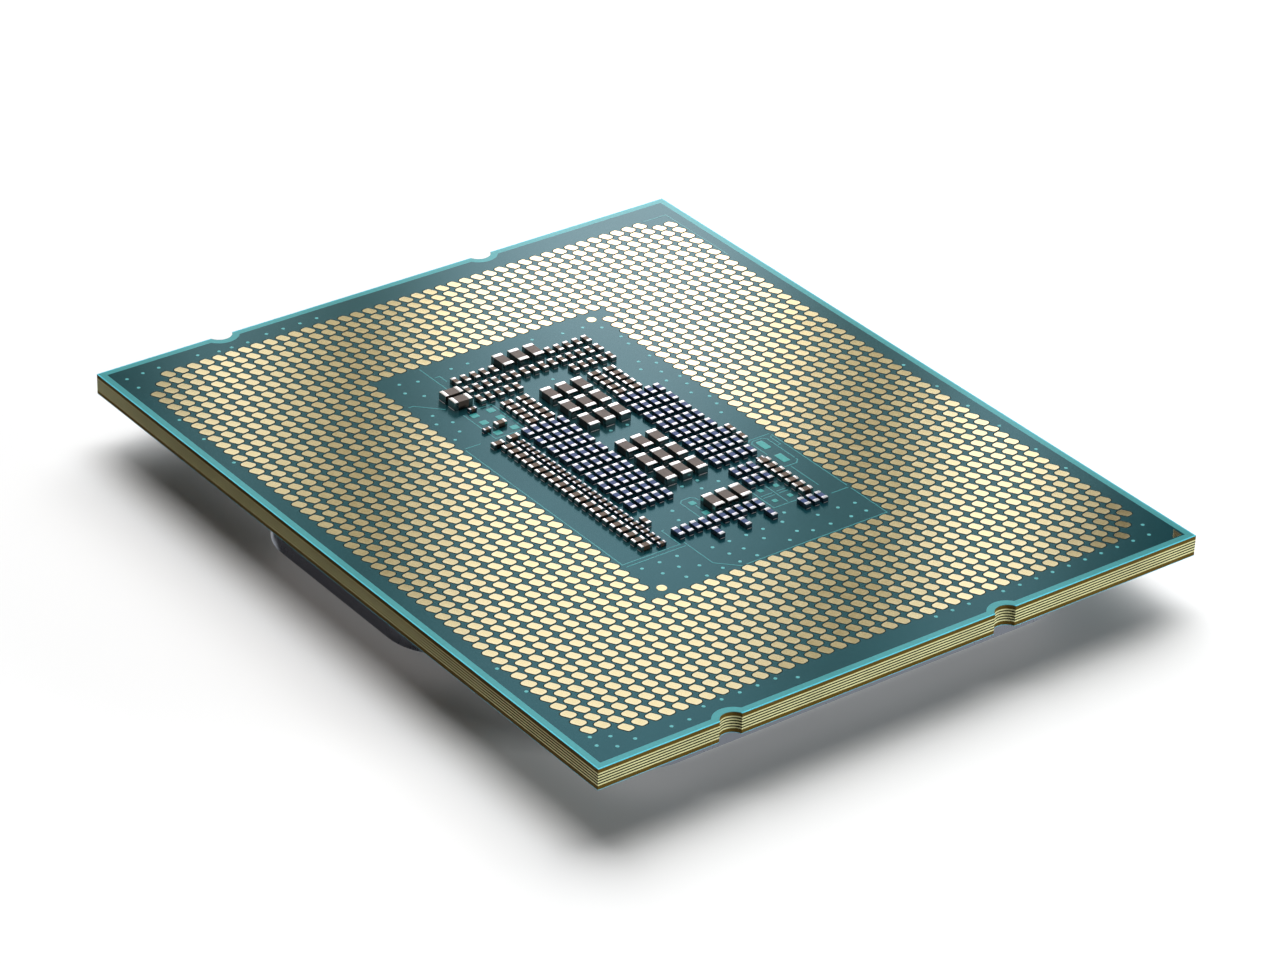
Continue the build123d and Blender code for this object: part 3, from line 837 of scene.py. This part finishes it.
look = AHEAD * math.cos(DOWNWARD) - SKY * math.sin(DOWNWARD)
level_up = AHEAD * math.sin(DOWNWARD) + SKY * math.cos(DOWNWARD)
right = ASIDE * math.cos(ROLL) + level_up * math.sin(ROLL)
up = level_up * math.cos(ROLL) - ASIDE * math.sin(ROLL)
camera_data = bpy.data.cameras.new("camera")
camera_data.sensor_width = 36.0
camera_data.lens = 125.494
camera_data.clip_start = 0.01
camera_data.clip_end = 20.0
camera = bpy.data.objects.new("camera", camera_data)
bpy.context.scene.collection.objects.link(camera)
turned = Matrix((right, up, -look)).transposed().to_4x4()
camera.matrix_world = Matrix.Translation(AIM - look * DISTANCE) @ turned
bpy.context.scene.camera = camera


# ============================ floor ============================

# The floor lies a little below the cooler face, so that the two don't share a plane.
FLOOR_DROP = 0.02 * MM
bpy.ops.mesh.primitive_plane_add(size=6.0)
floor = bpy.context.object
floor.name = "floor"
floor.location.z = -FLOOR_DROP
floor.visible_glossy = False
floor_material, tree, surface = shader("pale_floor")
surface.inputs["Base Color"].default_value = (0.86, 0.86, 0.86, 1)
surface.inputs["Roughness"].default_value = 0.9
surface.inputs["Specular IOR Level"].default_value = 0.0
# Seen from underneath the floor is clear, so that the cooler face shows.
clear = tree.nodes.new("ShaderNodeBsdfTransparent")
one_way = tree.nodes.new("ShaderNodeMixShader")
put(tree, one_way.inputs[0], tree.nodes.new("ShaderNodeNewGeometry").outputs["Backfacing"])
put(tree, one_way.inputs[1], surface.outputs[0])
put(tree, one_way.inputs[2], clear.outputs[0])
floor_output = next(node for node in tree.nodes if node.type == "OUTPUT_MATERIAL")
put(tree, floor_output.inputs["Surface"], one_way.outputs[0])
floor.data.materials.append(floor_material)


# ============================ studio dome ============================

# The dome is the studio that the shiny faces mirror: soft upright panels behind the object,
# brighter near the floor, and broad even panels all round.
DOME_RADIUS = 0.16
bpy.ops.mesh.primitive_uv_sphere_add(segments=96, ring_count=48, radius=DOME_RADIUS)
dome = bpy.context.object
dome.name = "studio_dome"
dome.matrix_world = Matrix((AHEAD, -ASIDE, SKY)).transposed().to_4x4()
dome.visible_camera = False
dome.visible_diffuse = False
dome.visible_shadow = False
dome.visible_transmission = False
dome_material, tree, surface = shader("studio_panels")
place = tree.nodes.new("ShaderNodeTexCoord").outputs["Object"]
axes = add(tree, "SeparateXYZ", Vector=place)
side = maths(tree, "MULTIPLY", axes.outputs[1], -1.0)
azimuth = maths(tree, "MULTIPLY", maths(tree, "ARCTAN2", side, axes.outputs[0]), math.degrees(1.0))
height = maths(tree, "DIVIDE", axes.outputs[2], DOME_RADIUS)

# The panels behind the object: degrees to the right of straight ahead, and brightness.
PANELS = [
    (-27.0, 0.20), (-23.0, 0.06), (-20.0, 0.06), (-17.6, 0.16), (-15.8, 0.70), (-14.4, 0.90),
    (-12.4, 0.52), (-10.8, 0.28), (-9.2, 0.25), (-7.6, 0.64), (-5.6, 1.10), (-2.0, 1.00),
    (2.0, 1.10), (4.6, 0.92), (6.4, 0.42), (8.6, 0.24), (10.2, 0.46), (11.8, 1.15),
    (13.8, 1.25), (15.6, 0.65), (17.6, 0.16), (20.0, 0.02), (24.0, 0.03), (27.0, 0.20),
]
PANEL_REACH = 30.0
WAVE_PER_DEGREE = 0.0873


def panel_colour(level):
    """A panel's colour: dim panels are warm, and bright ones faintly cool."""
    cool = min(level, 1.0)
    return (level, level * (0.90 + 0.10 * cool), level * (0.68 + 0.37 * cool))


def panel_stop(angle, level):
    """A panel as a ramp stop."""
    return (angle + PANEL_REACH) / (2 * PANEL_REACH), panel_colour(level)


# Behind the object stand the panels, and all round a slow wave of even light takes over from them.
spread = remap(tree, azimuth, -PANEL_REACH, PANEL_REACH)
behind = ramp(tree, spread, [panel_stop(angle, level) for angle, level in PANELS])
wave = maths(tree, "SINE", maths(tree, "MULTIPLY", azimuth, WAVE_PER_DEGREE))
round_about = remap(tree, wave, -1.0, 1.0, 0.28, 0.55)
outer = remap(tree, maths(tree, "ABSOLUTE", azimuth), 31.0, 44.0, smooth=True)
panels = mix(tree, outer, behind, round_about)

# How the panels' brightness changes with height, as a share of the dome's radius.
RISE = ((0.0, 0.35), (0.10, 0.5), (0.30, 1.0), (0.38, 0.92), (0.52, 0.55), (0.66, 0.42), (0.85, 0.40))
rise = ramp(tree, height, [(level, grey(brightness)) for level, brightness in RISE])
glow = mix(tree, 1.0, panels, rise, "MULTIPLY")

# One brighter patch straight ahead.
HOT_ACROSS = ((0.40, 0.0), (0.46, 1.0), (0.53, 1.0), (0.58, 0.0))
HOT_UP = (
    (0.22, grey(0.1)),
    (0.37, (0.45, 0.30, 0.28)),
    (0.44, (0.75, 0.50, 0.48)),
    (0.54, grey(0.10)),
    (0.62, grey(0.0)),
)
hot_across = ramp(tree, spread, [(share, grey(brightness)) for share, brightness in HOT_ACROSS])
hot_up = ramp(tree, height, HOT_UP)
glow = mix(tree, 1.0, glow, mix(tree, 1.0, hot_across, hot_up, "MULTIPLY"), "ADD")

# An even crown overhead, and dim panels below the floor's level.
crown = remap(tree, height, 0.76, 0.92, smooth=True)
glow = mix(tree, crown, glow, (0.40, 0.41, 0.42))
low = remap(tree, maths(tree, "MULTIPLY", height, -1.0), 0.03, 0.18, smooth=True)
beneath = mix(tree, round_about, (0.14, 0.145, 0.15), (0.42, 0.43, 0.45))
glow = mix(tree, low, glow, beneath)
surface.inputs["Base Color"].default_value = (0, 0, 0, 1)
surface.inputs["Specular IOR Level"].default_value = 0.0
put(tree, surface.inputs["Emission Color"], glow)
surface.inputs["Emission Strength"].default_value = 2.1
dome.data.materials.append(dome_material)


# ============================ lamps and cards ============================

def softbox(name, place, size, power, colour=(1, 1, 1)):
    """A soft rectangular lamp that points at the object and isn't mirrored by it."""
    data = bpy.data.lights.new(name, "AREA")
    data.shape = "RECTANGLE"
    data.size, data.size_y = size
    data.energy = power
    data.color = colour
    light = bpy.data.objects.new(name, data)
    bpy.context.scene.collection.objects.link(light)
    light.location = place
    light.rotation_euler = (-place).to_track_quat("-Z", "Y").to_euler()
    light.visible_glossy = False


KEY_DISTANCE = 1.5
KEY_ELEVATION = math.radians(52)
key_place = (AHEAD * math.cos(KEY_ELEVATION) + SKY * math.sin(KEY_ELEVATION)) * KEY_DISTANCE
softbox("key_light", key_place, (1.5, 1.7), 43.0)
softbox("edge_light", Vector((0.27, -0.38, 0.055)), (0.16, 0.05), 2.1, (0.96, 1.0, 1.0))

STRIP_HEIGHT = 0.2 * MM


def side_card(name, away, low, top, start, end, colour, strip=False):
    """A card on edge beside the long side at -X, and, if asked, a strip from its foot to below the board."""
    x = CAD_BOX[0].x - away
    corners = [(x, start, low), (x, end, low), (x, end, top), (x, start, top)]
    faces = [(0, 1, 2, 3)]
    if strip:
        corners += [(CAD_BOX[0].x, start, STRIP_HEIGHT), (CAD_BOX[0].x, end, STRIP_HEIGHT)]
        faces.append((1, 0, 4, 5))
    mesh = bpy.data.meshes.new(name)
    mesh.from_pydata(corners, [], faces)
    material, tree, surface = shader(name + "_paint")
    surface.inputs["Base Color"].default_value = (*colour, 1)
    surface.inputs["Specular IOR Level"].default_value = 0.0
    mesh.materials.append(material)
    card = bpy.data.objects.new(name, mesh)
    bpy.context.scene.collection.objects.link(card)
    card.visible_camera = False
    card.visible_shadow = False
    card.visible_transmission = False
    return card


# A brown card dims and warms the board's shaded long side, and the floor beside it a little.
BROWN = (0.17, 0.105, 0.05)
warm_card = side_card("warm_card", 2.6 * MM, 2.3 * MM, 5.2 * MM, -22 * MM, 22 * MM, BROWN)
warm_card.visible_glossy = False

# A nearly black card is what the metal walls on that side mirror.
BLACK = (0.09, 0.085, 0.09)
black_card = side_card("black_card", 8.0 * MM, 0.1 * MM, 6.0 * MM, -7.5 * MM, 19.0 * MM, BLACK, strip=True)
black_card.visible_diffuse = False


# ============================ world ============================

# The world gives a weak fill, and the camera sees it as a pale backdrop.
FILL = 0.05
BACKDROP = 0.80
world = bpy.data.worlds.new("world")
world.use_nodes = True
background = world.node_tree.nodes["Background"]
background.inputs["Color"].default_value = (1, 1, 1, 1)
seen = world.node_tree.nodes.new("ShaderNodeLightPath").outputs["Is Camera Ray"]
put(world.node_tree, background.inputs["Strength"], between(world.node_tree, seen, FILL, BACKDROP))
bpy.context.scene.world = world
bpy.context.scene.view_settings.view_transform = "Standard"
